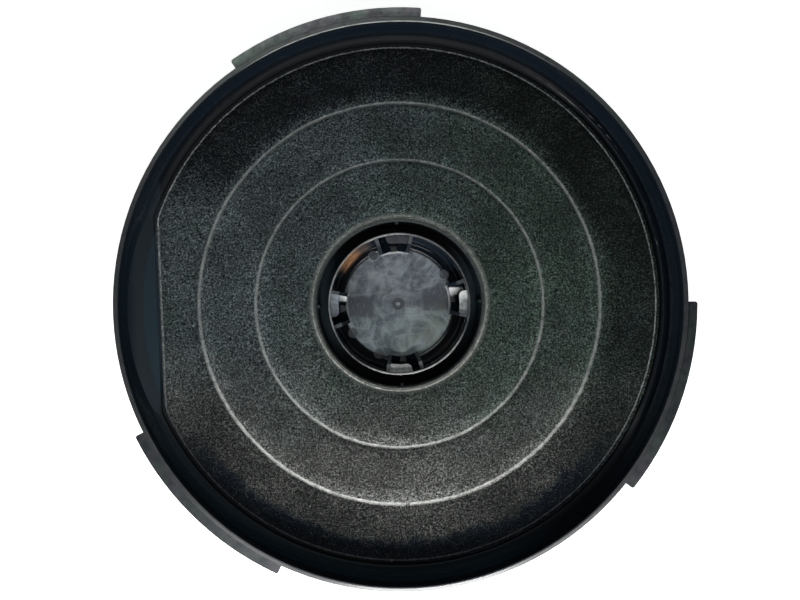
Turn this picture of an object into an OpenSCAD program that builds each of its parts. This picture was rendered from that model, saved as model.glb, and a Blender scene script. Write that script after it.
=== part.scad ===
// Round carbon filter for a cooker hood, lying on its grille with the open side up.
// The origin is on the axis, at the centre of the base. Millimetres, +Z towards the mouth.

/* [Rim] */
// Outer radius of the rim at its mouth
rim_r = 116.2; // [100:0.1:140]
// Wall thickness of the rim and the basket
wall_t = 2.1; // [1.4:0.1:2.6]
// Overall height
height = 34; // [30:0.5:45]
// Height of the straight band at the mouth
land_h = 5; // [3:0.5:8]
// How far the wall draws in between the band and the ledge
wall_draft = 2.4; // [1:0.1:4]
// Fillet between the wall and the ledge
foot_fillet = 2.4; // [1:0.1:2.8]
// Chamfer on the inner edge of the lip
lip_chamfer = 0.4; // [0.2:0.1:0.7]
// Chamfer on the outer edge of the lip
lip_break = 0.15; // [0.1:0.05:0.4]

/* [Lugs] */
// How far each lug stands out of the rim
lug_out = 3.8; // [2:0.1:8]
// Thickness of the lugs
lug_t = 2.4; // [1.5:0.1:4]
// How far the lugs lie below the lip
lug_drop = 0.8; // [0.6:0.1:3]
// Angle that each lug spans
lug_span = 39; // [20:0.5:60]
// Corner radius of the lugs
lug_corner = 1; // [0.4:0.1:1.6]
// Direction of the first lug's middle
lug_turn_a = 105.5; // [80:0.5:130]
// Direction of the second lug's middle
lug_turn_b = 226; // [200:0.5:250]
// Direction of the third lug's middle
lug_turn_c = 341; // [320:0.5:360]

/* [Basket] */
// Height of the seat that carries the felt
seat_z = 17.6; // [14:0.1:22]
// Height of the ledge above the seat
ledge_up = 2.4; // [1.5:0.1:4]
// Width of the ledge between the wall and the groove
ledge_w = 2.3; // [1.8:0.1:4]
// Width of the groove round the felt's edge
edge_gap = 1.5; // [0.6:0.1:2.5]
// Width of felt that rests on the basket's wall
seat_w = 1.7; // [1:0.1:2.5]
// How far the basket's outside draws in towards the base
basket_draft = 0.6; // [0.2:0.1:1.2]

/* [Flat side] */
// Direction of the flat side
flat_turn = 182.5; // [170:0.5:190]
// How far the flat side cuts into the felt's circle
flat_cut = 7.4; // [4:0.1:12]
// Width of the groove along the felt's straight edge
flat_gap = 0.9; // [0.5:0.1:2]
// Slope of the shoulder between the flat side and the rim
shoulder_slope = 22; // [15:0.5:28]
// How far the shoulder's foot lies below the ledge
shoulder_drop = 0.4; // [0.2:0.1:1]

/* [Grille] */
// Thickness of the grille
grille_t = 2; // [1.6:0.1:3]
// How far the grille lies above the base
grille_inset = 0.4; // [0.2:0.1:1]
// Rings of the grille in each compartment
ring_count = 3; // [2:1:4]
// Width of each ring
ring_w = 1.8; // [1.2:0.1:2.4]
// Spokes in the inner compartment
spoke_count = 16; // [12:2:20]
// Further spokes in each next compartment
spoke_step = 8; // [4:2:10]
// Width of each spoke
spoke_w = 1.6; // [1:0.1:2.4]
// Thickness of the ribs between the compartments
rib_t = 1.6; // [1:0.1:2.4]

/* [Socket] */
// Thickness of the socket's floor
floor_t = 2.2; // [1.6:0.1:3]
// Outer radius of the socket's rim
cup_r = 29.9; // [28:0.1:33]
// Wall thickness of the socket at its rim
cup_t = 0.9; // [0.8:0.1:1.4]
// Chamfer on the edges of the socket's rim
cup_chamfer = 0.25; // [0.1:0.05:0.35]
// Height of the socket's rim above the base
cup_z = 19; // [17:0.5:24]
// Fillet between the socket's wall and its floor
cup_fillet = 5; // [3:0.5:6]
// How far the socket's wall leans over its height
cup_draft = 0.6; // [0.2:0.1:1]
// Width of the moat between the socket and the collar
moat_w = 4.6; // [3:0.1:7]
// Wall thickness of the collar
collar_t = 1.6; // [1:0.1:2.4]
// Chamfer on the inner edge of the collar
collar_chamfer = 0.8; // [0.3:0.1:0.9]
// Height of the collar above the felt's seat
collar_up = 1; // [0.5:0.1:2]
// Width of the collar's flange under the felt
flange_w = 2.1; // [1.2:0.1:3]
// Clearance between the collar and the felt's hole
hole_gap = 0.35; // [0.2:0.05:0.8]

/* [Catches] */
// Number of catches in the socket
catch_count = 4; // [3:1:4]
// Direction of the first catch's window
catch_turn = 95; // [80:0.5:110]
// Angle that each window spans
window_span = 31; // [28:0.5:36]
// Radial depth of each window
window_w = 6.3; // [5.6:0.1:7]
// Thickness of the skin that closes each window at the base
skin_t = 0.8; // [0.6:0.1:1.6]
// Angle that each tongue spans
tongue_span = 22; // [16:0.5:24]
// Radial width of each tongue
tongue_w = 3.3; // [2.4:0.1:4]
// Thickness of each tongue
tongue_t = 2.2; // [1.4:0.1:3]
// Height of each tongue's underside above the base
tongue_z = 11.6; // [10.5:0.1:13]
// Thickness of the cheeks at the window's ends
cheek_t = 1.1; // [0.8:0.1:1.6]
// How far the cheeks lie below the socket's rim
cheek_drop = 1.2; // [0.6:0.1:3]
// Length of the ramp at each end of the window
ramp_run = 4; // [2:0.1:4.4]
// Height of each ramp above the base
ramp_z = 9; // [7:0.1:10]
// How far each ramp falls over its length
ramp_fall = 2.8; // [1.5:0.1:4]
// Height of the sill above the floor
sill_up = 0.7; // [0.4:0.1:1.4]
// Thickness of the sill
sill_t = 0.8; // [0.6:0.1:1.4]

/* [Felt and carbon] */
// Thickness of the cover felt at its welds
felt_weld = 0.9; // [0.6:0.1:1.4]
// Height of the felt's crown between two welds
felt_crown = 1.5; // [0.8:0.1:2.2]
// Thickness of the felt under the carbon
base_felt_t = 1.2; // [0.8:0.1:2]
// Clearance round the fillings
fill_gap = 0.3; // [0.2:0.05:0.6]

/* [Hidden] */
$fn = 96;

bays = 3;
far = 3 * rim_r;
bite = 0.5;
// Small step that keeps faces from only just meeting
nip = 0.03;
// How far a form runs into what carries it
root_t = 0.4;
// Direction where turned bodies start, clear of the lugs and the windows
seam_turn = 45;

// Radii from the rim inwards
mouth_r = rim_r - wall_t;
foot_r = mouth_r - wall_draft;
step_r = foot_r - ledge_w;
felt_r = step_r - edge_gap;
basket_r = felt_r - seat_w;

// Radii from the socket outwards
cup_in = cup_r - cup_t;
moat_r = cup_r + moat_w;
collar_r = moat_r + collar_t;
felt_hole = collar_r + hole_gap;
pitch = (felt_r - felt_hole) / bays;

// Share of a tongue's width that its rounded corner takes
tongue_corner = 0.6;
// Inner edge of the windows
sill_r = cup_in - window_w;
sill_overrun = 1;

// Heights
ledge_z = seat_z + ledge_up;
land_z = height - land_h;
lean = wall_draft / (land_z - ledge_z);
shelf_z = seat_z - wall_t;
under_z = ledge_z - wall_t;
grille_z = grille_inset + grille_t;
fill_z = grille_z + base_felt_t;
bed_top = seat_z - fill_gap;

// Distances of the flat side from the axis
felt_flat = felt_r - flat_cut;
flat_in = felt_flat - seat_w;
flat_step = felt_flat + flat_gap;
shoulder_z = ledge_z - shoulder_drop;

// Moulding marks in the socket
pad_turns = [32.5, 117.3, 213, 249];
pad_r = 2;
pad_up = 0.7;
gate_r = 0.8;
gate_up = 0.5;
dimple_r = 2.6;
dimple_depth = 0.25;
key_turn = 2;
key_w = 1.2;
key_out = 0.7;

function weld_r(i) = felt_hole + i * pitch;
function bay_in(i) = i == 0 ? collar_r : weld_r(i) + rib_t / 2;
function bay_out(i) = i == bays - 1 ? basket_r : weld_r(i + 1) - rib_t / 2;
function wall_in(z) = foot_r + lean * (z - ledge_z);
function shoulder_top(x) = shoulder_z + tan(shoulder_slope) * (x - flat_step);

// Everything beyond a flat plane at this distance on the flat side
module beyond_flat(at) {
    rotate([0, 0, flat_turn])
        translate([at, -far, -far])
            cube([far, 2 * far, 2 * far]);
}

// A profile of distance and height, swept straight along the flat side
module along_flat(points) {
    rotate([0, 0, flat_turn])
        translate([0, far / 2, 0])
            rotate([90, 0, 0])
                linear_extrude(far)
                    polygon(points);
}

// A full turn of a profile
module turned() {
    rotate([0, 0, seam_turn])
        rotate_extrude()
            children();
}

// A ring of constant section
module ring(r_in, r_out, z_low, z_high) {
    turned()
        translate([r_in, z_low])
            square([r_out - r_in, z_high - z_low]);
}

// Outside of the tray as one filled turned body
module envelope() {
    turned()
        polygon([
            [0, 0],
            [basket_r + wall_t - basket_draft, 0],
            [basket_r + wall_t, shelf_z],
            [step_r + wall_t, shelf_z],
            [step_r + wall_t, under_z],
            [wall_in(under_z) + wall_t, under_z],
            [rim_r, land_z],
            [rim_r, height - lip_break],
            [rim_r - lip_break, height],
            [0, height]
        ]);
}

// Wall, ledge, groove and seat all round, with the fillet at the wall's foot
module shell_profile() {
    half = (90 - atan(lean)) / 2;
    reach = foot_fillet * tan(half);
    polygon([
        [basket_r, 0],
        [basket_r + wall_t - basket_draft, 0],
        [basket_r + wall_t, shelf_z],
        [step_r + wall_t, shelf_z],
        [step_r + wall_t, under_z],
        [wall_in(under_z) + wall_t, under_z],
        [rim_r, land_z],
        [rim_r, height - lip_break],
        [rim_r - lip_break, height],
        [mouth_r + lip_chamfer, height],
        [mouth_r, height - lip_chamfer],
        [mouth_r, land_z],
        [foot_r, ledge_z],
        [step_r, ledge_z],
        [step_r, seat_z],
        [basket_r, seat_z]
    ]);
    difference() {
        polygon([
            [foot_r + bite, ledge_z - bite],
            [foot_r - reach, ledge_z - bite],
            [foot_r - reach, ledge_z],
            [foot_r - reach, ledge_z + foot_fillet],
            [foot_r + reach * sin(atan(lean)), ledge_z + reach * cos(atan(lean))]
        ]);
        translate([foot_r - reach + nip, ledge_z + foot_fillet - nip])
            circle(foot_fillet);
    }
}

module round_shell() {
    difference() {
        turned()
            shell_profile();
        along_flat([
            [flat_in + root_t, -height],
            [flat_in + root_t, seat_z - root_t],
            [flat_step + root_t, seat_z - root_t],
            [flat_step + root_t, shoulder_z - root_t],
            [far, shoulder_top(far) - root_t],
            [far, -height]
        ]);
    }
}

// Flat wall of the basket, its groove and the sloping shoulder up to the rim
module flat_side() {
    plate = wall_t / cos(shoulder_slope);
    step_out = flat_step + wall_t;
    intersection() {
        envelope();
        along_flat([
            [flat_in, 0],
            [flat_in + wall_t - basket_draft, 0],
            [flat_in + wall_t, shelf_z - root_t],
            [step_out, shelf_z - root_t],
            [step_out, shoulder_top(step_out) - plate],
            [far, shoulder_top(far) - plate],
            [far, shoulder_top(far)],
            [flat_step, shoulder_z],
            [flat_step, seat_z - nip],
            [flat_in, seat_z - nip]
        ]);
    }
}

// One lug as a flat tab with rounded outer corners
module lug(turn) {
    edge_turn = lug_span / 2;
    corner_r = rim_r + lug_out - lug_corner;
    corner_turn = edge_turn - asin(lug_corner / corner_r);
    inner = rim_r - wall_t / 2;
    rotate([0, 0, turn])
        translate([0, 0, height - lug_drop - lug_t])
            union() {
                rotate([0, 0, -edge_turn])
                    rotate_extrude(angle = lug_span)
                        translate([inner, 0])
                            square([corner_r - inner, lug_t]);
                rotate([0, 0, -corner_turn])
                    rotate_extrude(angle = 2 * corner_turn)
                        translate([inner, 0])
                            square([rim_r + lug_out - inner, lug_t]);
                for (side = [-1, 1])
                    rotate([0, 0, side * corner_turn])
                        translate([corner_r, 0, 0])
                            cylinder(r = lug_corner, h = lug_t);
            }
}

// Openwork front: rings and spokes in each compartment
module grille() {
    difference() {
        union() {
            for (i = [0 : bays - 1]) {
                step = (bay_out(i) - bay_in(i) + ring_w) / (ring_count + 1);
                spokes = spoke_count + i * spoke_step;
                for (k = [1 : ring_count])
                    ring(bay_in(i) + k * step - ring_w, bay_in(i) + k * step, grille_inset, grille_z);
                for (k = [0 : spokes - 1])
                    rotate([0, 0, k * 360 / spokes])
                        translate([bay_in(i) - bite, -spoke_w / 2, grille_inset])
                            cube([bay_out(i) - bay_in(i) + 2 * bite, spoke_w, grille_t]);
            }
        }
        beyond_flat(flat_in + bite);
    }
}

// Upright ribs between the compartments, which the felt is welded to
module ribs() {
    for (i = [1 : bays - 1])
        ring(weld_r(i) - rib_t / 2, weld_r(i) + rib_t / 2, 0, seat_z);
}

// Bowl, moat and collar before the windows are cut
module socket_body() {
    fillet = min(cup_fillet, window_w - bite);
    wall_foot = cup_in - cup_draft;
    turned() {
        polygon([
            [0, 0],
            [collar_r, 0],
            [collar_r, shelf_z],
            [collar_r + flange_w, shelf_z],
            [collar_r + flange_w, seat_z],
            [collar_r, seat_z],
            [collar_r, seat_z + collar_up],
            [moat_r + collar_chamfer, seat_z + collar_up],
            [moat_r, seat_z + collar_up - collar_chamfer],
            [moat_r - cup_draft / 2, floor_t],
            [cup_r + cup_draft / 2, floor_t],
            [cup_r, cup_z - cup_chamfer],
            [cup_r - cup_chamfer, cup_z],
            [cup_in + cup_chamfer, cup_z],
            [cup_in, cup_z - cup_chamfer],
            [wall_foot, floor_t + fillet],
            [wall_foot, floor_t],
            [0, floor_t]
        ]);
        difference() {
            translate([wall_foot - fillet, floor_t - bite])
                square([fillet + bite, fillet + bite]);
            translate([wall_foot - fillet + nip, floor_t + fillet - nip])
                circle(fillet);
        }
    }
}

// Cut for one window, from its low end at angle zero
module window() {
    rotate_extrude(angle = window_span)
        translate([sill_r, skin_t])
            square([window_w, height]);
}

// End wall of a window with its ramp, on the side of growing angle
module cheek() {
    inner = sill_r - sill_t / 2;
    root = cup_in + cup_t / 2;
    foot = skin_t / 2;
    translate([0, cheek_t, 0])
        rotate([90, 0, 0])
            linear_extrude(cheek_t + root_t)
                polygon([
                    [inner, foot],
                    [root, foot],
                    [root, cup_z - cheek_drop],
                    [cup_in - tongue_w, cup_z - cheek_drop],
                    [inner, ramp_z]
                ]);
    translate([inner, 0, 0])
        rotate([90, 0, 90])
            linear_extrude(root - inner)
                polygon([
                    [-root_t, foot],
                    [cheek_t + ramp_run, foot],
                    [cheek_t + ramp_run, ramp_z - ramp_fall],
                    [cheek_t, ramp_z],
                    [-root_t, ramp_z]
                ]);
}

// Tongue of a catch, with its free corner rounded
module tongue() {
    inner = cup_in - tongue_w;
    corner = tongue_w * tongue_corner;
    translate([0, 0, tongue_z])
        difference() {
            rotate_extrude(angle = tongue_span)
                translate([inner, 0])
                    square([tongue_w + root_t, tongue_t]);
            rotate([0, 0, tongue_span])
                difference() {
                    translate([inner - corner, -corner, -bite])
                        cube([2 * corner, 2 * corner, tongue_t + 2 * bite]);
                    translate([inner + corner, -corner, -2 * bite])
                        cylinder(r = corner, h = tongue_t + 4 * bite);
                }
        }
}

// Low wall along the floor's edge at a window
module sill() {
    rotate([0, 0, -sill_overrun])
        rotate_extrude(angle = window_span + 2 * sill_overrun)
            translate([sill_r - sill_t, floor_t / 2])
                square([sill_t + root_t, floor_t / 2 + sill_up]);
}

// One catch: the tongue, and a cheek at each end of its window
module catch() {
    tongue();
    cheek();
    rotate([0, 0, window_span])
        mirror([0, 1, 0])
            cheek();
}

// Copies at the low end of each catch's window
module each_catch() {
    for (k = [0 : catch_count - 1])
        rotate([0, 0, catch_turn - window_span / 2 + k * 360 / catch_count])
            children();
}

// Marks that moulding leaves on the socket's floor, and the keys inside the collar
module moulding_marks() {
    pad_ring = cup_in - cup_draft - cup_fillet;
    for (turn = pad_turns)
        rotate([0, 0, turn])
            translate([pad_ring, 0, floor_t - bite])
                cylinder(r = pad_r, h = pad_up + bite);
    cylinder(r = gate_r, h = floor_t + gate_up - dimple_depth);
    for (k = [0 : 3])
        rotate([0, 0, key_turn + 90 * k])
            translate([moat_r - key_out - cup_draft / 2, -key_w / 2, floor_t - bite])
                cube([key_out + collar_t, key_w, seat_z - floor_t + bite]);
}

module socket() {
    difference() {
        union() {
            socket_body();
            each_catch()
                sill();
        }
        each_catch()
            window();
        translate([0, 0, floor_t - dimple_depth])
            cylinder(r = dimple_r, h = bite);
    }
    each_catch()
        catch();
    moulding_marks();
}

// Single moulding of rim, lugs, basket, grille and socket
module tray() {
    color([0.06, 0.065, 0.07])
        union() {
            round_shell();
            flat_side();
            lug(lug_turn_a);
            lug(lug_turn_b);
            lug(lug_turn_c);
            grille();
            ribs();
            socket();
        }
}

// Height of the cover felt's face above the seat at a share of the way across a bay
function quilt(share) = felt_weld + felt_crown * (1 - pow(2 * share - 1, 4));

// Felt over the carbon, welded to the ribs, the collar and the basket's wall
module felt_cover() {
    steps = 8;
    face = [
        for (i = [0 : bays - 1])
            for (k = [0 : steps - 1])
                [weld_r(i) + pitch * k / steps, seat_z + quilt(k / steps)]
    ];
    color([0.13, 0.15, 0.14])
        difference() {
            turned()
                polygon(concat(
                    [[felt_r, seat_z], [felt_hole, seat_z]],
                    face,
                    [[felt_r, seat_z + quilt(1)]]
                ));
            beyond_flat(felt_flat);
        }
}

// Carbon granules between two ribs, drawn as the body that they fill
module carbon_bed(i) {
    under_flange = i == 0 ? flange_w : 0;
    r_in = bay_in(i) + fill_gap;
    r_out = bay_out(i) - fill_gap;
    color([0.05, 0.05, 0.05])
        difference() {
            turned()
                polygon([
                    [r_in, fill_z],
                    [r_out, fill_z],
                    [r_out, bed_top],
                    [r_in + under_flange, bed_top],
                    [r_in + under_flange, shelf_z - fill_gap],
                    [r_in, shelf_z - fill_gap]
                ]);
            beyond_flat(flat_in - fill_gap);
        }
}

// Felt ring on the grille, under the carbon
module base_felt(i) {
    color([0.16, 0.17, 0.17])
        difference() {
            ring(bay_in(i) + fill_gap, bay_out(i) - fill_gap, grille_z, fill_z);
            beyond_flat(flat_in - fill_gap);
        }
}

tray();
felt_cover();
carbon_bed(0);  // carbon_bed_inner
carbon_bed(1);  // carbon_bed_middle
carbon_bed(2);  // carbon_bed_outer
base_felt(0);  // base_felt_inner
base_felt(1);  // base_felt_middle
base_felt(2);  // base_felt_outer
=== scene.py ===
import math
import random

import bpy
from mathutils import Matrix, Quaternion, Vector, noise


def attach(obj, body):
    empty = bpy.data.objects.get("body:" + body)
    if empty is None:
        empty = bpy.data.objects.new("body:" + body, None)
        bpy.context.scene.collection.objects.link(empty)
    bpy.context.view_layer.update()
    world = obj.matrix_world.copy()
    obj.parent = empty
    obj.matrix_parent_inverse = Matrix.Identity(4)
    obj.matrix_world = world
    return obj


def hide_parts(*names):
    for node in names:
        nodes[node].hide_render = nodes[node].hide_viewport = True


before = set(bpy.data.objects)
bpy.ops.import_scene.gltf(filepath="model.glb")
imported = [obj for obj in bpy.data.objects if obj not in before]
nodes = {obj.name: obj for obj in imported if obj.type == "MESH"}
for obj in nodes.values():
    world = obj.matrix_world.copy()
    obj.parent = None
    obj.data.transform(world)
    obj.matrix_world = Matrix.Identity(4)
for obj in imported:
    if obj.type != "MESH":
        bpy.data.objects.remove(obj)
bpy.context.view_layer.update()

MM = 0.001
random.seed(7)

# Sizes from the part, in millimetres
SEAT_Z = 17.6
FELT_HOLE = 36.45
FELT_R = 107.9
BAYS = 3
PITCH = (FELT_R - FELT_HOLE) / BAYS
WELDS = [FELT_HOLE + i * PITCH for i in range(BAYS + 1)]
FLAT_TURN = math.radians(182.5)
FELT_FLAT = 100.5
FELT_WELD = 0.9
FELT_CROWN = 1.5
COLLAR_R = 36.1
COLLAR_TOP = 18.6
BASKET_R = 106.2
RIB_T = 1.6
FLAT_IN = 98.8
GRILLE_Z = 2.4
FILL_Z = 3.6
GAP = 0.3
CATCH_TURN = math.radians(93.5)

# Middle radii of the tray's rings, in millimetres
LIP_R = 115.2
LIP_EDGE_R = 113.9
WALL_R = 110
COLLAR_MID_R = 35.5
MOAT_R = 32.4
CREST_R = 29.45
TONGUE_R = 27.4
FLOOR_RING_R = 26.2
RAMP_R = 25.6
SILL_R = 22.4
PAD_RING = 23.4
PAD_TURNS = [32.5, 117.3, 213, 249]

# How finely the felts are meshed, and how many fibres lie on the cover felt
FELT_TURNS = 640
BAY_STEPS = 24
BASE_TURNS = 300
BASE_STEPS = 10
LOOSE_FIBRES = 3600
COLLAR_FUZZ = 900
HOLE_FUZZ = 520
STRAIGHT_FUZZ = 380


# Shader helper
class Shader:
    """Node tree of one material."""

    def __init__(self, name):
        self.material = bpy.data.materials.new(name)
        self.material.use_nodes = True
        self.tree = self.material.node_tree
        self.tree.nodes.clear()
        self.output = self.add("ShaderNodeOutputMaterial")
        self.surface = self.add("ShaderNodeBsdfPrincipled")
        self.tree.links.new(self.surface.outputs["BSDF"], self.output.inputs["Surface"])
        self.place = self.add("ShaderNodeTexCoord").outputs["Object"]
        parts = self.add("ShaderNodeSeparateXYZ")
        self.put(parts.inputs[0], self.place)
        self.x, self.y, self.z = parts.outputs
        flat = self.add("ShaderNodeCombineXYZ")
        self.put(flat.inputs[0], self.x)
        self.put(flat.inputs[1], self.y)
        self.flat = flat.outputs[0]
        length = self.add("ShaderNodeVectorMath", operation="LENGTH")
        self.put(length.inputs[0], flat.outputs[0])
        self.r = length.outputs["Value"]
        self.turn = self.math("ARCTAN2", self.y, self.x)

    def add(self, kind, **settings):
        node = self.tree.nodes.new(kind)
        for key, value in settings.items():
            setattr(node, key, value)
        return node

    def put(self, socket, value):
        if isinstance(value, bpy.types.NodeSocket):
            self.tree.links.new(value, socket)
        else:
            socket.default_value = value

    def set(self, **values):
        for key, value in values.items():
            self.put(self.surface.inputs[key.replace("_", " ")], value)

    def math(self, operation, *values, clamp=False):
        node = self.add("ShaderNodeMath", operation=operation, use_clamp=clamp)
        for socket, value in zip(node.inputs, values):
            self.put(socket, value)
        return node.outputs[0]

    def ease(self, value, start, end, low=0.0, high=1.0):
        """Smooth change from low to high while the value goes from start to end."""
        node = self.add("ShaderNodeMapRange", interpolation_type="SMOOTHSTEP")
        for socket, v in zip(node.inputs, (value, start, end, low, high)):
            self.put(socket, v)
        return node.outputs[0]

    def chain(self, operation, values):
        out = values[0]
        for v in values[1:]:
            out = self.math(operation, out, v)
        return out

    def times(self, *values):
        return self.chain("MULTIPLY", values)

    def plus(self, *values):
        return self.chain("ADD", values)

    def most(self, *values):
        return self.chain("MAXIMUM", values)

    def rest(self, value):
        """What is missing to one."""
        return self.math("SUBTRACT", 1.0, value)

    def jitter(self, value, reach):
        """A noise of zero to one made to swing about zero."""
        return self.times(self.math("SUBTRACT", value, 0.5), reach)

    def toward(self, degrees):
        """Cosine of the angle from a direction about the axis."""
        return self.math("COSINE", self.math("SUBTRACT", self.turn, math.radians(degrees)))

    def near(self, value, centre, half, soft):
        """One within half of the centre, and zero beyond half + soft."""
        away = self.math("ABSOLUTE", self.math("SUBTRACT", value, centre))
        return self.ease(away, half, half + soft, 1.0, 0.0)

    def ease_mm(self, value, start, end, low=0.0, high=1.0):
        return self.ease(value, start * MM, end * MM, low, high)

    def near_mm(self, value, centre, half, soft):
        return self.near(value, centre * MM, half * MM, soft * MM)

    def mapped(self, scale=(1, 1, 1), turn=(0, 0, 0), shift=(0, 0, 0), kind="POINT"):
        node = self.add("ShaderNodeMapping", vector_type=kind)
        self.put(node.inputs["Vector"], self.place)
        node.inputs["Location"].default_value = shift
        node.inputs["Rotation"].default_value = turn
        node.inputs["Scale"].default_value = scale
        return node.outputs[0]

    def noise(self, scale, detail=2.0, roughness=0.5, distortion=0.0, source=None):
        node = self.add("ShaderNodeTexNoise")
        self.put(node.inputs["Vector"], source or self.place)
        node.inputs["Scale"].default_value = scale
        node.inputs["Detail"].default_value = detail
        node.inputs["Roughness"].default_value = roughness
        node.inputs["Distortion"].default_value = distortion
        return node.outputs[0]

    def mix(self, factor, a, b, blend="MIX"):
        node = self.add("ShaderNodeMix", data_type="RGBA", blend_type=blend)
        self.put(node.inputs[0], factor)
        self.put(node.inputs[6], rgba(a))
        self.put(node.inputs[7], rgba(b))
        return node.outputs[2]

    def tinted(self, colour, by):
        return self.mix(1.0, colour, by, "MULTIPLY")

    def polar(self, radial, angular, rise=0.0):
        """Vector of radius and arc position, for streaks that run round the axis."""
        node = self.add("ShaderNodeCombineXYZ")
        self.put(node.inputs[0], self.math("MULTIPLY", self.r, radial))
        self.put(node.inputs[1], self.math("MULTIPLY", self.turn, angular))
        self.put(node.inputs[2], self.math("MULTIPLY", self.z, rise))
        return node.outputs[0]

    def bump(self, height, strength, distance):
        node = self.add("ShaderNodeBump")
        node.inputs["Strength"].default_value = strength
        node.inputs["Distance"].default_value = distance
        self.put(node.inputs["Height"], height)
        return node.outputs[0]


def rgba(colour):
    if isinstance(colour, bpy.types.NodeSocket):
        return colour
    return (*colour, 1.0)


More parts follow.
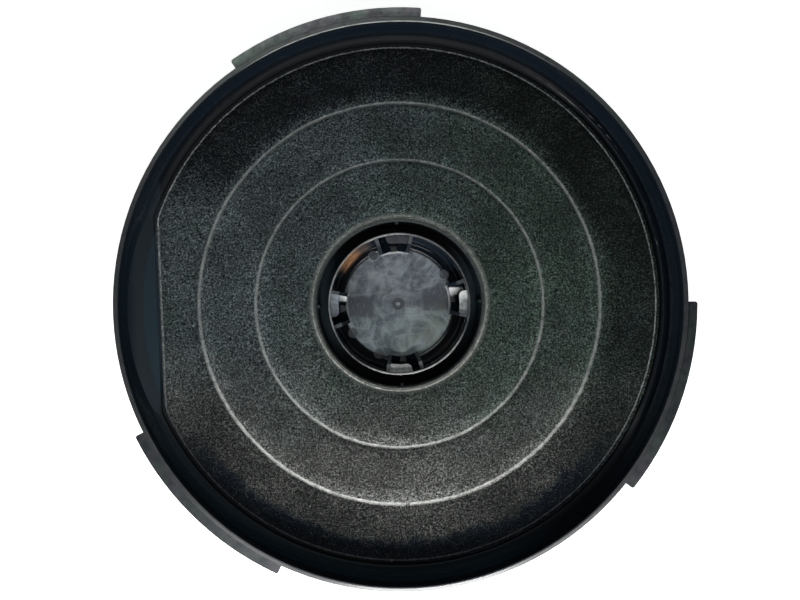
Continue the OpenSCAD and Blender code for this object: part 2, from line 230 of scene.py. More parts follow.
# Materials
def tray_material():
    s = Shader("tray_plastic")
    cloud = s.noise(28, 4, 0.6)
    fine = s.noise(260, 3, 0.6)
    grain = s.noise(2600, 2, 0.5)
    colour = s.mix(cloud, (0.0040, 0.0074, 0.0120), (0.0076, 0.0124, 0.0190))
    outside = s.ease_mm(s.r, 114.2, 114.8)
    # Film of dust on the lugs' and the lip's tops, painted several times lighter towards the back as
    # painted light
    dusty = s.times(outside, s.ease_mm(s.z, 32.4, 33.0), s.ease(fine, 0.25, 0.75, 0.3, 1.0))
    dust_and_painted_light = s.mix(s.ease(s.noise(70, 2), 0.35, 0.65), (0.070, 0.066, 0.074), (0.052, 0.070, 0.058))
    # Painted light: towards the back the dust film is made much lighter
    painted_light_behind = s.ease_mm(s.y, 40, 100)
    dust_and_painted_light = s.mix(painted_light_behind, dust_and_painted_light, s.tinted(dust_and_painted_light, (6.5, 6.5, 6.5)))
    colour = s.mix(s.times(dusty, 0.6), colour, dust_and_painted_light)
    lip_top = s.times(s.near_mm(s.r, LIP_R, 0.9, 0.2), s.ease_mm(s.z, 33.75, 33.9))
    colour = s.mix(s.times(lip_top, s.ease(fine, 0.3, 0.7, 0.5, 1.0)), colour, (0.044, 0.046, 0.049))
    # Ledge and moat painted dark as painted shade
    ledge = s.times(s.ease_mm(s.r, 106.8, 107.4), s.ease_mm(s.z, 25, 21))
    moat = s.times(s.near_mm(s.r, MOAT_R, 2.3, 0.2), s.ease_mm(s.z, 17, 10))
    recess_painted_shade = s.most(ledge, moat)
    colour = s.mix(recess_painted_shade, colour, (0.0006, 0.0018, 0.0038))
    # The flat shoulder at the left is painted a lighter teal grey as a painted reflection, darker towards
    # its outer edge
    shoulder = s.times(s.ease_mm(s.x, -99.8, -100.4), s.ease_mm(s.z, 26, 24))
    shoulder_painted_reflection = s.mix(s.ease_mm(s.r, 106.6, 107.4), (0.017, 0.028, 0.038), (0.006, 0.011, 0.016))
    colour = s.mix(shoulder, colour, shoulder_painted_reflection)
    # The moat's left and right parts are painted lighter blue-grey as painted light
    painted_light_sides = s.ease_mm(s.math("ABSOLUTE", s.x), 20, 31)
    colour = s.mix(s.times(moat, painted_light_sides), colour, (0.016, 0.032, 0.042))
    # The front of the wall, in the lamp's shadow, is painted lighter blue-grey as painted light
    front_wall_painted_light = s.times(
        s.near_mm(s.r, WALL_R, 3.4, 0.8),
        s.ease_mm(s.z, 19, 22),
        s.ease_mm(s.y, -25, -70),
        s.ease_mm(s.x, 75, 35),
    )
    colour = s.mix(front_wall_painted_light, colour, (0.022, 0.042, 0.058))
    # Painted highlight along the lip's inner edge at the back
    painted_edge_highlight = s.times(
        s.near_mm(s.r, LIP_EDGE_R, 0.38, 0.12),
        s.ease_mm(s.z, 33.35, 33.5),
        s.near(s.turn, math.radians(97), math.radians(17), math.radians(14)),
    )
    colour = s.mix(s.times(painted_edge_highlight, s.ease(fine, 0.30, 0.55, 0.5, 1.0)), colour, (0.38, 0.41, 0.40))
    # The socket's floor ring at the foot of its wall is painted darker as painted shade
    socket_foot_painted_shade = s.times(s.near_mm(s.r, FLOOR_RING_R, 2.6, 0.3), s.ease_mm(s.z, 5.0, 3.4))
    colour = s.mix(socket_foot_painted_shade, colour, (0.0010, 0.0022, 0.0045))
    # Pale bloom on the socket's floor, smeared in swirls; its brightness is partly a painted reflection of
    # light from above
    floor = s.times(s.ease_mm(s.r, 23.9, 23.2), s.ease_mm(s.z, 4.2, 3.0), s.ease_mm(s.z, 1.4, 1.7))
    swirl = s.noise(70, 5, 0.62, 2.2, s.mapped((1, 1, 1), (0, 0, 0.5), (1.5, 1, 1)))
    smear = s.ease(swirl, 0.36, 0.66)
    bloom_and_reflection = s.mix(smear, (0.050, 0.062, 0.078), (0.165, 0.190, 0.215))
    strokes = s.ease(s.noise(240, 3, 0.6, 0.4, s.mapped((0.5, 2.2, 1))), 0.5, 0.68)
    bloom_and_reflection = s.mix(s.times(strokes, 0.22), bloom_and_reflection, (0.26, 0.28, 0.30))
    across = s.plus(s.y, s.jitter(swirl, 5 * MM))
    across = s.math("SUBTRACT", across, s.ease_mm(s.x, -5, 5, -1.2 * MM, 2.2 * MM))
    band = s.times(s.near_mm(across, 0, 4.2, 1.2), s.ease_mm(s.math("ABSOLUTE", s.x), 9.5, 11.5))
    bloom_and_reflection = s.mix(s.times(s.near_mm(across, 0, 2.8, 0.8), 0.3), bloom_and_reflection, (0.070, 0.082, 0.100))
    bloom_and_reflection = s.mix(s.times(band, 0.92), bloom_and_reflection, (0.042, 0.050, 0.066))
    rub = s.ease(s.noise(420, 4, 0.7, 0.6, s.mapped((2.4, 0.8, 1), (0, 0, 0.3))), 0.52, 0.66)
    bloom_and_reflection = s.mix(s.times(rub, 0.30), bloom_and_reflection, (0.24, 0.25, 0.26))
    moss = s.times(s.ease_mm(s.math("SUBTRACT", s.x, s.y), 8, 30), s.ease(s.noise(180, 3), 0.4, 0.6))
    bloom_and_reflection = s.mix(s.times(moss, 0.4), bloom_and_reflection, (0.14, 0.15, 0.11))
    # The lower half is painted much lighter as painted light, where the socket's wall shades the floor from
    # the lamp
    painted_light_lower_half = s.ease_mm(s.y, 2, -9)
    brighter = s.tinted(bloom_and_reflection, (3.2, 3.3, 3.1))
    bloom_and_reflection = s.mix(painted_light_lower_half, s.tinted(bloom_and_reflection, (1.2, 1.2, 1.2)), brighter)
    gate = s.near_mm(s.r, 1.9, 0.5, 0.5)
    bloom_and_reflection = s.mix(s.times(gate, 0.75), bloom_and_reflection, (0.035, 0.036, 0.040))
    tip = s.ease_mm(s.r, 1.0, 0.6)
    bloom_and_reflection = s.mix(s.times(tip, 0.8), bloom_and_reflection, (0.30, 0.31, 0.33))
    colour = s.mix(floor, colour, bloom_and_reflection)
    for turn in PAD_TURNS:
        angle = math.radians(turn)
        away = s.add("ShaderNodeVectorMath", operation="DISTANCE")
        s.put(away.inputs[0], s.flat)
        away.inputs[1].default_value = (PAD_RING * MM * math.cos(angle), PAD_RING * MM * math.sin(angle), 0)
        low = s.ease_mm(s.z, 6.0, 5.0)
        pit = s.times(s.ease_mm(away.outputs["Value"], 2.0, 1.7), low)
        colour = s.mix(s.times(pit, 0.75), colour, (0.026, 0.031, 0.038))
        ring = s.times(s.near_mm(away.outputs["Value"], 2.1, 0.12, 0.22), low)
        colour = s.mix(s.times(ring, 0.45), colour, (0.20, 0.22, 0.24))
    # Painted highlights on edges: sills, cheeks and the socket's rim
    sill = s.times(s.near_mm(s.r, SILL_R, 0.6, 0.25), s.ease_mm(s.z, 2.72, 2.86), s.ease_mm(s.z, 3.4, 3.2))
    catches = s.math("COSINE", s.times(s.math("SUBTRACT", s.turn, CATCH_TURN), 4.0))
    sill = s.times(sill, s.ease(catches, 0.25, 0.45))
    cheeks = s.times(s.ease_mm(s.r, 29.2, 28.8), s.ease_mm(s.z, 17.5, 17.75), 0.22)
    crest = s.times(s.near_mm(s.r, CREST_R, 0.5, 0.1), s.ease_mm(s.z, 18.70, 18.85))
    # The rim's painted highlight is weaker at the upper right and at the lower left
    for middle, far, close in ((0.5, 1.25, 0.75), (-2.36, 0.5, 0.25)):
        away = s.math("ABSOLUTE", s.math("SUBTRACT", s.turn, middle))
        crest = s.times(crest, s.ease(away, far, close, 1.0, 0.30))
    edge_highlights = s.most(sill, cheeks, crest)
    edge_highlights = s.times(edge_highlights, s.ease(s.noise(300, 3), 0.3, 0.6, 0.45, 1.0))
    beyond = s.ease_mm(s.math("ABSOLUTE", s.y), 12, 26)
    edge_highlight_tone = s.mix(beyond, (0.27, 0.28, 0.29), (0.40, 0.40, 0.41))
    edge_highlight_tone = s.mix(sill, edge_highlight_tone, (0.50, 0.52, 0.54))
    colour = s.mix(s.times(edge_highlights, 0.8), colour, edge_highlight_tone)
    # Crushed felt fluff on the collar's top, painted lighter towards the front as painted light and darker
    # at its inner edge as painted shade
    fluff = s.times(
        s.near_mm(s.r, COLLAR_MID_R, 0.75, 0.35),
        s.ease_mm(s.z, 17.6, 17.9),
        s.ease(s.noise(900, 2), 0.3, 0.6, 0.4, 1.0),
    )
    nap_and_painted_light = s.mix(s.ease_mm(s.y, 5, -25), (0.095, 0.110, 0.100), (0.24, 0.25, 0.23))
    nap_and_painted_light = s.mix(s.ease_mm(s.r, 35.0, 35.8), s.tinted(nap_and_painted_light, (0.45, 0.45, 0.45)), nap_and_painted_light)
    nap_and_painted_light = s.mix(s.ease(s.noise(1500, 2), 0.42, 0.60), s.tinted(nap_and_painted_light, (0.5, 0.5, 0.5)), nap_and_painted_light)
    colour = s.mix(s.times(fluff, 0.9), colour, nap_and_painted_light)
    # Tops of the four tongues, each painted a tone of its own as a painted highlight, brightest on the
    # lower and right ones
    tongues = s.times(
        s.near_mm(s.r, TONGUE_R, 1.75, 0.2), s.ease_mm(s.z, 13.2, 13.6), s.ease_mm(s.z, 14.4, 14.1)
    )
    upper = s.ease_mm(s.y, 8, 18)
    lower = s.ease_mm(s.y, -8, -18)
    right = s.ease_mm(s.x, 8, 18)
    tone = s.mix(right, (0.27, 0.31, 0.36), (0.84, 0.88, 0.87))
    tone = s.mix(lower, tone, (0.95, 0.97, 0.92))
    tone = s.mix(upper, tone, (0.034, 0.036, 0.046))
    tone = s.mix(s.ease(s.noise(330, 3, 0.6), 0.35, 0.6), s.tinted(tone, (0.6, 0.6, 0.6)), tone)
    colour = s.mix(s.times(tongues, 0.95), colour, tone)
    # Upper faces of the ramps that look to the front, painted near white as a painted highlight
    ramp_highlight = s.times(
        s.near_mm(s.r, RAMP_R, 3.0, 0.3),
        s.ease_mm(s.z, 5.0, 8.6),
        s.ease_mm(s.z, 9.4, 9.1),
        s.near_mm(s.y, 4.0, 2.6, 0.8),
    )
    colour = s.mix(s.times(ramp_highlight, 0.9), colour, s.mix(right, (0.92, 0.95, 0.96), (0.60, 0.62, 0.62)))
    # Pale streaks that run round the socket's wall, and a painted orange reflection on one side
    streaks = s.noise(1.0, 4, 0.6, 0.3, s.polar(900, 3.0, 700))
    inner = s.times(s.ease_mm(s.r, 29.6, 29.2), s.ease_mm(s.r, 23.6, 24.4), s.ease_mm(s.z, 2.6, 4.5))
    colour = s.mix(s.times(s.ease(streaks, 0.56, 0.72), inner, 0.30), colour, (0.11, 0.12, 0.14))
    # Painted orange reflection of something warm on the socket's wall
    side = s.near(s.turn, math.radians(135), math.radians(13), math.radians(10))
    orange_reflection = s.times(side, inner, s.near_mm(s.r, 28.0, 0.8, 1.6), s.ease(streaks, 0.30, 0.60, 0.3, 1.0))
    reflection_core = s.near(s.turn, math.radians(139), math.radians(4), math.radians(11))
    colour = s.mix(s.times(orange_reflection, 0.9), colour, s.mix(reflection_core, (0.075, 0.060, 0.052), (0.36, 0.185, 0.090)))
    s.set(Base_Color=colour, IOR=1.50)
    rough = s.plus(s.times(cloud, 0.08), 0.12)
    nearest = s.ease_mm(s.y, -30, -60)
    crown = s.times(lip_top, nearest, s.ease_mm(s.r, 114.75, 114.9))
    rough = s.plus(rough, s.times(lip_top, nearest, s.ease_mm(s.r, 114.9, 114.75), 0.4))
    rough = s.plus(rough, s.math("MULTIPLY", s.math("SUBTRACT", outside, crown), 0.10, clamp=True))
    rough = s.plus(rough, s.times(painted_edge_highlight, 0.22))
    rough = s.plus(rough, s.times(s.most(floor, edge_highlights), 0.28))
    rough = s.plus(rough, s.times(s.most(moat, fluff), 0.60))
    ledge_rough = s.ease_mm(s.x, 45, 85, 0.45, 0.06)
    ledge_rough = s.ease_mm(s.y, -40, -65, ledge_rough, 0.75)
    rough = s.plus(rough, s.times(ledge, ledge_rough))
    s.set(Roughness=rough)
    relief = s.plus(s.times(grain, 0.35), s.times(fine, 0.65))
    relief = s.times(relief, s.rest(s.times(crown, 0.8)))
    s.set(Normal=s.bump(relief, 0.10, 0.0002))
    return s.material


def fibre_relief(s):
    """Criss-cross fibre pattern of needled felt, zero to one."""
    total = None
    for turn, size in ((0.15, 1750), (1.0, 1900), (1.75, 1800), (2.6, 1700)):
        streak = s.noise(size, 1, 0.5, 1.2, s.mapped((1.0, 5.0, 2.0), (0, 0, turn), kind="TEXTURE"))
        streak = s.ease(streak, 0.48, 0.78)
        total = streak if total is None else s.most(total, streak)
    return total


def felt_material():
    s = Shader("cover_felt")
    edge = s.math("SUBTRACT", FELT_R * MM, s.r)
    along = s.plus(s.times(s.x, math.cos(FLAT_TURN)), s.times(s.y, math.sin(FLAT_TURN)))
    straight = s.math("SUBTRACT", FELT_FLAT * MM, along)
    fibres = fibre_relief(s)
    grain = s.noise(1350, 3, 0.6)
    speck = s.noise(1700, 1, 0.5)
    patch = s.noise(40, 4, 0.6)
    # Blue-black towards the back and the left, green to the right, brown-grey towards the front; the
    # lighter tones towards the front and the left are painted light
    side = s.ease_mm(s.plus(s.x, s.times(s.y, -0.5)), -75, 40)
    side = s.plus(side, s.jitter(s.noise(55, 2), 1.6))
    side = s.math("MULTIPLY", side, 1.0, clamp=True)
    front = s.ease_mm(s.plus(s.y, s.jitter(s.noise(30, 3), 90 * MM)), 0, -75)
    dark = s.mix(side, (0.0020, 0.0036, 0.0056), (0.0018, 0.0046, 0.0034))
    dark = s.mix(front, dark, (0.0070, 0.0078, 0.0076))
    light = s.mix(side, (0.185, 0.230, 0.245), (0.120, 0.175, 0.148))
    light = s.mix(front, light, (0.222, 0.230, 0.222))
    amount = s.plus(s.times(fibres, 0.34), s.times(s.ease(grain, 0.46, 0.68), 0.56))
    amount = s.times(amount, s.ease(patch, 0.25, 0.75, 0.55, 1.15))
    # Lighter band beside the welds, on the inner side: painted light on the felt's slope there
    for at in WELDS[1:3]:
        weld_halo_painted_light = s.times(s.ease_mm(s.r, at - 7, at - 1.5), s.ease_mm(s.r, at + 0.6, at + 0.2))
        weld_halo_painted_light = s.times(weld_halo_painted_light, s.most(front, s.ease_mm(s.y, 0, 50, 0.7, 1.15)))
        amount = s.times(amount, s.plus(1.0, s.times(weld_halo_painted_light, 0.70)))
    # The outer bay is painted darker as painted shade from the tray's wall, most behind and to the right
    back = s.ease(s.toward(78), 0.1, 0.75)
    outer = s.ease_mm(s.r, 82, 92)
    left = s.ease(s.toward(180), 0.80, 0.95)
    outer_bay_painted_shade = s.times(outer, s.rest(left))
    painted_shade_dimming = s.times(outer_bay_painted_shade, s.plus(0.10, s.times(back, 0.12)))
    amount = s.math("SUBTRACT", amount, painted_shade_dimming, clamp=True)
    amount = s.times(amount, s.rest(s.times(outer_bay_painted_shade, s.plus(0.30, s.times(back, 0.22)))))
    rim = s.plus(s.r, s.jitter(s.noise(120, 3), 9 * MM))
    shade = s.times(s.ease_mm(rim, 97, 101.5), s.ease_mm(s.y, -45, -75))
    amount = s.times(amount, s.rest(s.times(shade, 0.82)))
    dark = s.mix(shade, dark, (0.0008, 0.0028, 0.0065))
    light = s.mix(s.times(shade, 0.8), light, (0.090, 0.140, 0.190))
    light = s.tinted(light, (1.30, 1.30, 1.30))
    colour = s.mix(amount, dark, light)
    colour = s.mix(s.times(s.ease(speck, 0.66, 0.76), 0.4), colour, (0.24, 0.25, 0.24))
    # Melted lines over the ribs, painted paler towards the front as painted light
    wander = s.jitter(s.noise(60, 2), 0.7 * MM)
    ragged = s.jitter(s.noise(1100, 2), 0.9 * MM)
    wavy = s.plus(s.r, s.plus(wander, ragged))
    worn = s.ease(s.noise(420, 3, 0.6), 0.25, 0.62, 0.45, 1.0)
    broken = s.times(s.near_mm(s.x, 3.5, 0.7, 0.4), s.ease_mm(s.y, -80, -82))
    for at, width in ((WELDS[1], 0.20), (WELDS[2], 0.30)):
        line = s.near_mm(wavy, at, width, 0.72)
        line = s.times(line, s.rest(s.times(broken, 0.85)))
        pale = s.mix(front, (0.28, 0.30, 0.295), (0.62, 0.63, 0.61))
        colour = s.mix(s.times(line, worn, 0.9), colour, pale)
    # Pale hem along the felt's edges: a painted highlight, palest towards the back, and painted shade at
    # the front
    hem = s.most(
        s.near_mm(s.plus(edge, ragged), 0.42, 0.12, 0.35),
        s.near_mm(s.plus(straight, ragged), 0.75, 0.25, 0.45),
    )
    hem_highlight_and_shade = s.mix(s.ease_mm(s.y, 20, 80), (0.46, 0.50, 0.52), (0.72, 0.77, 0.80))
    hem_highlight_and_shade = s.mix(front, hem_highlight_and_shade, (0.10, 0.11, 0.12))
    colour = s.mix(s.times(hem, worn, s.ease(s.noise(800, 2), 0.35, 0.55, 0.45, 0.95)), colour, hem_highlight_and_shade)
    lip = s.times(s.ease_mm(s.plus(s.r, ragged), 38.4, 37.2), worn)
    colour = s.mix(s.times(lip, 0.85), colour, (0.150, 0.166, 0.156))
    # Pale frayed fibres at the hole's edge; their extra lightness towards the front is painted light
    frayed = s.times(s.near_mm(s.plus(s.r, ragged), 36.35, 0.40, 0.35), worn)
    fray_tone_front_lit = s.mix(s.ease_mm(s.y, 10, -28), (0.30, 0.33, 0.31), (0.60, 0.62, 0.58))
    colour = s.mix(s.times(frayed, 0.95), colour, fray_tone_front_lit)
    s.set(Base_Color=colour, Roughness=0.85, Sheen_Weight=0.04, Sheen_Roughness=0.5)
    s.surface.inputs["Specular IOR Level"].default_value = 0.15
    relief = s.plus(s.times(fibres, 0.7), s.times(grain, 0.6))
    s.set(Normal=s.bump(relief, 1.0, 0.0005))
    return s.material


def fibre_material():
    s = Shader("felt_fibre")
    tone = s.noise(300, 2, 0.5)
    colour = s.mix(s.ease(tone, 0.3, 0.7), (0.016, 0.019, 0.019), (0.085, 0.088, 0.083))
    rim = s.most(s.ease_mm(s.r, 39.5, 37.0), s.ease_mm(s.r, 99.0, 102.0))
    colour = s.mix(s.times(rim, 0.6), colour, (0.19, 0.20, 0.195))
    s.set(Base_Color=colour, Roughness=0.6)
    s.surface.inputs["Specular IOR Level"].default_value = 0.3
    return s.material


def base_felt_material():
    s = Shader("base_felt")
    fibres = fibre_relief(s)
    grain = s.noise(1300, 3, 0.65)
    amount = s.plus(s.times(fibres, 0.55), s.times(grain, 0.45))
    colour = s.mix(amount, (0.020, 0.022, 0.022), (0.105, 0.110, 0.108))
    s.set(Base_Color=colour, Roughness=0.9, Sheen_Weight=0.05, Sheen_Roughness=0.5)
    s.surface.inputs["Specular IOR Level"].default_value = 0.2
    s.set(Normal=s.bump(amount, 0.8, 0.0004))
    return s.material


def carbon_material():
    s = Shader("carbon_granules")
    cells = s.add("ShaderNodeTexVoronoi", feature="F1")
    s.put(cells.inputs["Vector"], s.place)
    cells.inputs["Scale"].default_value = 330
    cells.inputs["Randomness"].default_value = 0.9
    dome = s.ease(cells.outputs["Distance"], 0.05, 0.75, 1.0, 0.0)
    grey = s.add("ShaderNodeSeparateColor")
    s.put(grey.inputs[0], cells.outputs["Color"])
    colour = s.mix(grey.outputs[0], (0.006, 0.006, 0.006), (0.030, 0.030, 0.031))
    colour = s.mix(s.times(s.noise(2400, 2), 0.3), colour, (0.05, 0.05, 0.05))
    s.set(Base_Color=colour, Roughness=0.55)
    s.set(Normal=s.bump(dome, 1.0, 0.0015))
    return s.material


def seen_directly(tree):
    """One for what the camera sees, by itself or through something clear."""
    path = tree.nodes.new("ShaderNodeLightPath")
    seen = tree.nodes.new("ShaderNodeMath")
    seen.operation = "MAXIMUM"
    tree.links.new(path.outputs["Is Camera Ray"], seen.inputs[0])
    tree.links.new(path.outputs["Is Transmission Ray"], seen.inputs[1])
    return seen.outputs[0]


def floor_material():
    material = bpy.data.materials.new("pale_floor")
    material.use_nodes = True
    tree = material.node_tree
    tree.nodes.clear()
    output = tree.nodes.new("ShaderNodeOutputMaterial")
    plain = tree.nodes.new("ShaderNodeBsdfDiffuse")
    plain.inputs["Color"].default_value = (0.86, 0.86, 0.86, 1)
    glow = tree.nodes.new("ShaderNodeEmission")
    glow.inputs["Color"].default_value = (1, 1, 1, 1)
    glow.inputs["Strength"].default_value = 0.90
    both = tree.nodes.new("ShaderNodeAddShader")
    tree.links.new(plain.outputs[0], both.inputs[0])
    tree.links.new(glow.outputs[0], both.inputs[1])
    pick = tree.nodes.new("ShaderNodeMixShader")
    tree.links.new(seen_directly(tree), pick.inputs[0])
    tree.links.new(plain.outputs[0], pick.inputs[1])
    tree.links.new(both.outputs[0], pick.inputs[2])
    tree.links.new(pick.outputs[0], output.inputs["Surface"])
    return material


# Pieces
def new_piece(name, verts, faces, material):
    mesh = bpy.data.meshes.new(name)
    mesh.from_pydata(verts, [], faces)
    mesh.validate()
    mesh.update()
    piece = bpy.data.objects.new(name, mesh)
    bpy.context.scene.collection.objects.link(piece)
    mesh.materials.append(material)
    mesh.shade_smooth()
    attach(piece, "root")
    return piece


def felt_edge_r(turn):
    """Outer radius of the felt in a direction, with the corners of its straight side eased."""
    toward = math.cos(turn - FLAT_TURN)
    if toward <= 0.05:
        return FELT_R
    chord = FELT_FLAT / toward
    sharp = 1.2
    if chord > FELT_R + 12:
        return FELT_R
    blend = -math.log(math.exp(-FELT_R * sharp) + math.exp(-chord * sharp)) / sharp
    return min(blend, FELT_R, chord)


CREASES = [
    # radius, middle direction in degrees, half span in degrees, height in millimetres
    (87.9, 265.5, 12.0, 0.22),
    (92.3, 50.5, 8.0, 0.18),
    (66.0, 285.0, 9.0, 0.10),
]


def margin(turn):
    """How far the felt runs out past its outer weld: a frayed border on the right, hardly any elsewhere."""
    side = max(math.cos(turn + 0.15), 0.0)
    fray = noise.noise(Vector((math.cos(turn) * 40, math.sin(turn) * 40, 2.2)))
    return 0.06 + min(side * 2.2, 1.0) * (1.05 + 0.22 * fray)


def felt_height(r, turn, x, y):
    """Height of the felt's face above its seat."""
    bay = min(int((r - FELT_HOLE) / PITCH), BAYS - 1)
    outer = WELDS[bay + 1] if bay < BAYS - 1 else felt_edge_r(turn)
    if r > outer and bay == BAYS - 1:
        ragged = 0.08 * noise.noise(Vector((x / 1.5, y / 1.5, 3.3)))
        return FELT_WELD + 0.25 * min((r - outer) / 0.6, 1.0) + ragged
    share = (r - WELDS[bay]) / (outer - WELDS[bay])
    share = min(max(share, 0.0), 1.0)
    loft = 1 - abs(2 * share - 1) ** 5
    lumps = noise.fractal(Vector((x / 9, y / 9, 1.7)), 1.0, 2.1, 3) * 0.13
    pits = noise.fractal(Vector((x / 2.2, y / 2.2, 5.1)), 0.8, 2.0, 2) * 0.07
    height = FELT_WELD + loft * (FELT_CROWN - 0.1) + (lumps + pits) * min(loft * 1.5, 1.0)
    for at, middle, half, rise in CREASES:
        away = (math.degrees(turn) - middle + 180) % 360 - 180
        if abs(away) < half:
            fade = 1 - (away / half) ** 2
            wave = at + 0.5 * math.sin(away * 0.6)
            fold = math.exp(-((r - wave) / 0.8) ** 2)
            dip = math.exp(-((r - wave - 1.6) / 0.9) ** 2)
            height += rise * fade * fold - rise * 0.6 * fade * dip
    return max(height, 0.3)


def bay_rings(steps):
    """Shares across each bay, closer together at the welds."""
    shares = []
    for i in range(steps):
        t = i / steps
        shares.append(t - 0.32 * math.sin(2 * math.pi * t) / (2 * math.pi) * 1.6)
    return shares


def felt_cover(material):
    turns = FELT_TURNS
    shares = bay_rings(BAY_STEPS)
    rows = []
    for bay in range(BAYS):
        for share in shares:
            rows.append((bay, share))
    rows.append((BAYS - 1, 1.0))
    border = (0.5, 1.0)
    verts = []
    for k in range(turns):
        turn = 2 * math.pi * k / turns
        c, s = math.cos(turn), math.sin(turn)
        limit = felt_edge_r(turn)
        column = []
        for bay, share in rows:
            outer = WELDS[bay + 1] if bay < BAYS - 1 else limit
            r = WELDS[bay] + (outer - WELDS[bay]) * share
            x, y = r * c, r * s
            column.append((x * MM, y * MM, (SEAT_Z + felt_height(r, turn, x, y)) * MM))
        for share in border:
            r = limit + margin(turn) * share
            x, y = r * c, r * s
            column.append((x * MM, y * MM, (SEAT_Z + felt_height(r, turn, x, y)) * MM))
        # Cut edge outside, underside, and cut edge at the hole
        limit += margin(turn)
        column.append(((limit + 0.02) * c * MM, (limit + 0.02) * s * MM, (SEAT_Z + 0.4) * MM))
        for r in (limit - 0.1, WELDS[2], WELDS[1], FELT_HOLE + 0.15):
            column.append((r * c * MM, r * s * MM, SEAT_Z * MM))
        # Squeezed up against the collar
        r = COLLAR_R + 0.05
        for up in (0.35, 0.90, 1.06):
            column.append((r * c * MM, r * s * MM, (SEAT_Z + up) * MM))
        column.append(((FELT_HOLE - 0.12) * c * MM, (FELT_HOLE - 0.12) * s * MM, (SEAT_Z + 1.10) * MM))
        verts.extend(column)
    n = len(column)
    faces = []
    for k in range(turns):
        a, b = k * n, ((k + 1) % turns) * n
        for i in range(n):
            j = (i + 1) % n
            faces.append((a + i, a + j, b + j, b + i))
    piece = new_piece("felt_cover_cloth", verts, faces, material)
    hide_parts("felt_cover")
    return piece


def fibre_tubes(name, paths, material):
    """Three-sided tubes along short paths, each with its own thickness."""
    verts, faces = [], []
    for points, radius in paths:
        base = len(verts)
        count = len(points)
        for i, p in enumerate(points):
            ahead = points[min(i + 1, count - 1)] - points[max(i - 1, 0)]
            ahead.normalize()
            side = ahead.cross(Vector((0, 0, 1)))
            if side.length < 1e-6:
                side = Vector((1, 0, 0))
            side.normalize()
            up = side.cross(ahead)
            slim = radius * (0.35 if i in (0, count - 1) else 1.0)
            for q in range(3):
                angle = 2 * math.pi * q / 3
                verts.append(p + side * (math.cos(angle) * slim) + up * (math.sin(angle) * slim))
        for i in range(count - 1):
            for q in range(3):
                a = base + 3 * i + q
                b = base + 3 * i + (q + 1) % 3
                faces.append((a, b, b + 3, a + 3))
        faces.append((base, base + 2, base + 1))
        end = base + 3 * (count - 1)
        faces.append((end, end + 1, end + 2))
    return new_piece(name, [tuple(v) for v in verts], faces, material)


def surface_point(r, turn, lift):
    x, y = r * math.cos(turn), r * math.sin(turn)
    return Vector((x, y, SEAT_Z + felt_height(r, turn, x, y) + lift)) * MM


def felt_fibres(material):
    paths = []
    # Loose fibres lying on the felt
    for _ in range(LOOSE_FIBRES):
        r0 = math.sqrt(random.uniform((FELT_HOLE + 1) ** 2, (FELT_R - 1) ** 2))
        t0 = random.uniform(0, 2 * math.pi)
        if r0 > felt_edge_r(t0) - 1.5:
            continue
        heading = random.uniform(0, 2 * math.pi)
        length = random.uniform(1.2, 4.0)
        bend = random.uniform(-0.5, 0.5)
        x, y = r0 * math.cos(t0), r0 * math.sin(t0)
        points = []
        for i in range(5):
            r, t = math.hypot(x, y), math.atan2(y, x)
            if r < FELT_HOLE or r > felt_edge_r(t):
                break
            lift = 0.05 + 0.22 * math.sin(math.pi * i / 4) * random.uniform(0.3, 1.0)
            points.append(surface_point(r, t, lift))
            x += math.cos(heading) * length / 4
            y += math.sin(heading) * length / 4
            heading += bend
        if len(points) >= 3:
            paths.append((points, random.uniform(0.025, 0.045) * MM))
    # Fuzz over the collar's top
    for _ in range(COLLAR_FUZZ):
        t0 = random.uniform(0, 2 * math.pi)
        heading = t0 + random.uniform(0, 2 * math.pi)
        length = random.uniform(0.8, 2.4)
        start = random.uniform(34.9, 37.2)
        x, y = start * math.cos(t0), start * math.sin(t0)
        points = []
        for i in range(4):
            if not 34.6 < math.hypot(x, y) < 38.5:
                break
            points.append(Vector((x, y, COLLAR_TOP + 0.10 + 0.14 * math.sin(math.pi * i / 3))) * MM)
            x += math.cos(heading) * length / 3
            y += math.sin(heading) * length / 3
            heading += random.uniform(-0.5, 0.5)
        if len(points) >= 3:
            paths.append((points, random.uniform(0.03, 0.055) * MM))
    # Fibres that lean in over the hole's edge
    for _ in range(HOLE_FUZZ):
        t0 = random.uniform(0, 2 * math.pi)
        out = random.uniform(-0.9, 1.2)
        start = FELT_HOLE + random.uniform(0.2, 1.6)
        points = []
        for i in range(4):
            share = i / 3
            r = start - share * random.uniform(0.2, 0.9)
            t = t0 + share * out / FELT_HOLE
            points.append(surface_point(max(r, FELT_HOLE + 0.05), t, 0.1 + 0.2 * share))
        paths.append((points, random.uniform(0.025, 0.05) * MM))
    # Fuzz along the straight side
    for _ in range(STRAIGHT_FUZZ):
        across = random.uniform(-37, 37)
        depth = random.uniform(0.1, 1.5)
        slant = random.uniform(-1.6, 1.6)
        points = []
        for i in range(4):
            share = i / 3
            d = FELT_FLAT - depth + share * (depth + random.uniform(-0.2, 0.35))
            w = across + share * slant
            x = d * math.cos(FLAT_TURN) - w * math.sin(FLAT_TURN)
            y = d * math.sin(FLAT_TURN) + w * math.cos(FLAT_TURN)
            r, t = math.hypot(x, y), math.atan2(y, x)
            inside = min(r, felt_edge_r(t) - 0.05)
            height = felt_height(inside, t, x, y)
            points.append(Vector((x, y, SEAT_Z + height + 0.06 + 0.15 * share)) * MM)
        paths.append((points, random.uniform(0.025, 0.05) * MM))
    return fibre_tubes("felt_cover_fibres", paths, material)


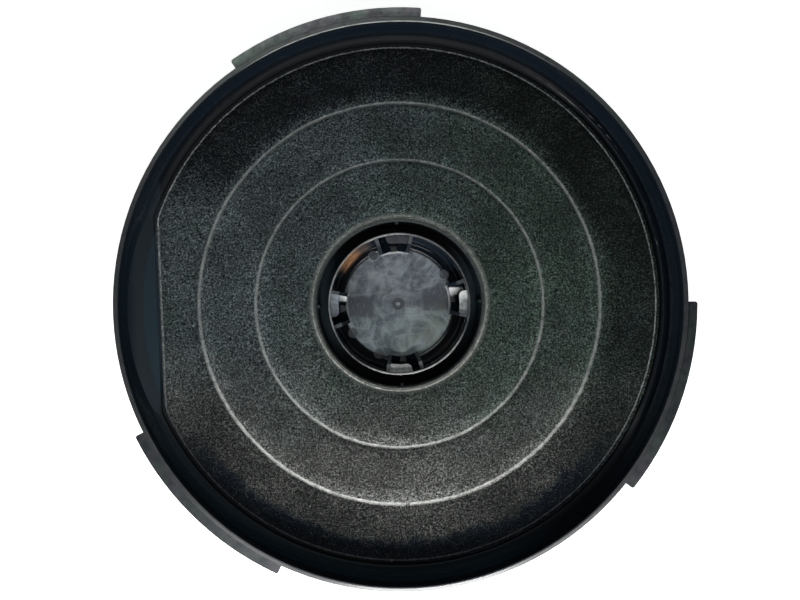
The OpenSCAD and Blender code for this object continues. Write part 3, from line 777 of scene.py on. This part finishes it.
def base_felt(name, r_in, r_out, cuts, material):
    """Felt ring on the grille. It may be cut as several arcs with butt joints."""
    verts, faces = [], []
    slit = 0.25 / r_in
    for part in range(cuts):
        start = math.radians(62.5) + part * 2 * math.pi / cuts
        span = 2 * math.pi / cuts
        steps = BASE_TURNS // cuts
        closed = cuts == 1
        count = steps if closed else steps + 1
        base = len(verts)
        n_r = BASE_STEPS
        for k in range(count):
            if closed:
                turn = start + span * k / steps
            else:
                turn = start + slit + (span - 2 * slit) * k / steps
            c, s = math.cos(turn), math.sin(turn)
            toward = math.cos(turn - FLAT_TURN)
            limit = r_out
            if toward > 0.3:
                limit = min(limit, (FLAT_IN - GAP) / toward)
            for i in range(n_r + 1):
                r = r_in + (limit - r_in) * i / n_r
                lump = noise.fractal(Vector((r * c / 3, r * s / 3, 8.3)), 1.0, 2.0, 2) * 0.06
                verts.append((r * c * MM, r * s * MM, (FILL_Z - 0.08 + lump) * MM))
            for i in range(n_r, -1, -1):
                r = r_in + (limit - r_in) * i / n_r
                verts.append((r * c * MM, r * s * MM, GRILLE_Z * MM))
        n = 2 * (n_r + 1)
        for k in range(steps):
            a = base + k * n
            b = base + ((k + 1) % count) * n
            for i in range(n):
                j = (i + 1) % n
                faces.append((a + i, a + j, b + j, b + i))
        if not closed:
            faces.append(tuple(base + i for i in range(n - 1, -1, -1)))
            faces.append(tuple(base + steps * n + i for i in range(n)))
    piece = new_piece("base_felt_cloth_" + name, verts, faces, material)
    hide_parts("base_felt_" + name)
    return piece


def paint(node, material):
    mesh = nodes[node].data
    if not mesh.materials:
        mesh.materials.append(material)
    for i in range(len(mesh.materials)):
        mesh.materials[i] = material


paint("tray", tray_material())
carbon = carbon_material()
for which in ("inner", "middle", "outer"):
    paint("carbon_bed_" + which, carbon)

felt = felt_material()
cloth = felt_cover(felt)
fibres = felt_fibres(fibre_material())
segment = math.acos(FELT_FLAT / FELT_R)
felt_area = math.pi * (FELT_R ** 2 - FELT_HOLE ** 2)
felt_area -= FELT_R ** 2 * (segment - math.sin(segment) * math.cos(segment))

under = base_felt_material()
bounds_in = [COLLAR_R + GAP, WELDS[1] + RIB_T / 2 + GAP, WELDS[2] + RIB_T / 2 + GAP]
bounds_out = [WELDS[1] - RIB_T / 2 - GAP, WELDS[2] - RIB_T / 2 - GAP, BASKET_R - GAP]
for i, which in enumerate(("inner", "middle", "outer")):
    r_in, r_out = bounds_in[i], bounds_out[i]
    piece = base_felt(which, r_in, r_out, 3 if which == "outer" else 1, under)
    area = math.pi * (r_out ** 2 - r_in ** 2)
    if which == "outer":
        half = math.acos((FLAT_IN - GAP) / r_out)
        area -= r_out ** 2 * (half - math.sin(half) * math.cos(half))

# Floor, light and camera
bpy.ops.mesh.primitive_plane_add(size=6, location=(0, 0, -0.0002))
floor = bpy.context.object
floor.name = "floor"
floor.data.materials.append(floor_material())

world = bpy.data.worlds.new("plain_world")
bpy.context.scene.world = world
world.use_nodes = True
tree = world.node_tree
tree.nodes.clear()
output = tree.nodes.new("ShaderNodeOutputWorld")
ambient = tree.nodes.new("ShaderNodeBackground")
ambient.inputs["Color"].default_value = (0.78, 0.90, 1.0, 1)
ambient.inputs["Strength"].default_value = 0.055
backdrop = tree.nodes.new("ShaderNodeBackground")
backdrop.inputs["Color"].default_value = (1, 1, 1, 1)
backdrop.inputs["Strength"].default_value = 1.0
pick = tree.nodes.new("ShaderNodeMixShader")
tree.links.new(seen_directly(tree), pick.inputs[0])
tree.links.new(ambient.outputs[0], pick.inputs[1])
tree.links.new(backdrop.outputs[0], pick.inputs[2])
tree.links.new(pick.outputs[0], output.inputs["Surface"])


def panel(name, place, size, radiance, colour=(1, 1, 1), roll=0):
    """Rectangular lamp that faces the object, with the brightness of its own surface given."""
    lamp = bpy.data.lights.new(name, "AREA")
    lamp.shape = "RECTANGLE"
    lamp.size, lamp.size_y = size
    lamp.energy = radiance * math.pi * size[0] * size[1]
    lamp.color = colour
    holder = bpy.data.objects.new(name, lamp)
    holder.location = place
    facing = (-Vector(place)).to_track_quat("-Z", "Y")
    holder.rotation_euler = (facing @ Quaternion((0, 0, 1), math.radians(roll))).to_euler()
    bpy.context.scene.collection.objects.link(holder)
    return holder


def direction(azimuth, elevation, distance):
    a, e = math.radians(azimuth), math.radians(elevation)
    return (
        distance * math.cos(e) * math.cos(a), distance * math.cos(e) * math.sin(a), distance * math.sin(e)
    )


key = panel("key_panel", (-0.02, -0.25, 0.15), (0.12, 0.07), 38.0, (1.0, 0.985, 0.96))
key.visible_glossy = False
panel("crest_panel", (0.078, -0.404, 1.0), (0.22, 0.025), 95.0, roll=-5)
panel("crest_panel_right", (0.255, -0.340, 1.0), (0.16, 0.05), 9.0, roll=-5)
panel("crest_panel_left", (-0.150, -0.372, 1.0), (0.24, 0.06), 5.5)
panel("window_panel", direction(270, 18, 1.2), (1.3, 0.30), 2.6, (1.0, 0.99, 0.97))
panel("back_panel", (-0.13, 0.36, 1.0), (0.46, 0.12), 2.8, (0.94, 1.0, 0.98), 9)
panel("sky_panel", (0.0, 0.05, 1.3), (0.4, 0.3), 0.8, (0.90, 0.96, 1.0))

lens = bpy.data.cameras.new("camera")
lens.lens = 42.4
lens.sensor_width = 36
camera = bpy.data.objects.new("camera", lens)
camera.location = (-0.0133, 0.0016, 0.414)
camera.rotation_euler = (0, 0, 0)
lens.shift_x = 0.0403
bpy.context.scene.collection.objects.link(camera)
bpy.context.scene.camera = camera

view = bpy.context.scene.view_settings
view.view_transform = "Standard"
